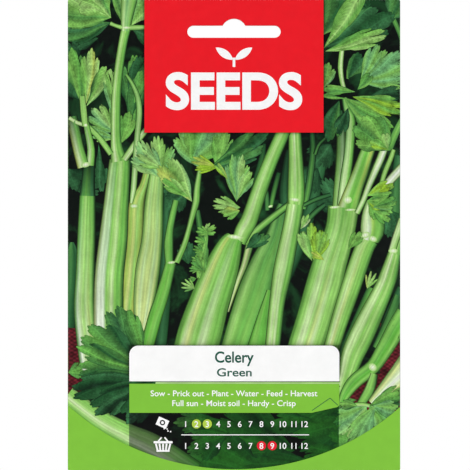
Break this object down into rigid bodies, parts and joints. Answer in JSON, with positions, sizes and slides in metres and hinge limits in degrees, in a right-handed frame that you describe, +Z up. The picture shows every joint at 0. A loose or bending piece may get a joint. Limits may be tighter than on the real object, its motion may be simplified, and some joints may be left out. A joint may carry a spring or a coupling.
{
  "type": "seed packet",
  "caption": "Flat paper seed packet with a printed celery front, a hang hole in its header and a sealed sachet of seeds inside.",
  "frame": {"origin": "top of the hang hole's dome, where a display peg bears, in the middle of the packet's thickness at the header", "axes": "the packet hangs as on a peg: +X to the reader's right, the printed front faces -Y, +Z up"},
  "size_m": [0.115, 0.0042, 0.163],
  "materials": {
    "printed_paper": "satin varnished print over white paper",
    "sachet_film": "silvery laminated film",
    "celery_seed": "dry and dull"
  },
  "bodies": {
    "root": {"envelope": "printed_paper", "sachet_front_film": "sachet_film", "sachet_back_film": "sachet_film", "celery_seeds": "celery_seed"}
  },
  "joints": []
}
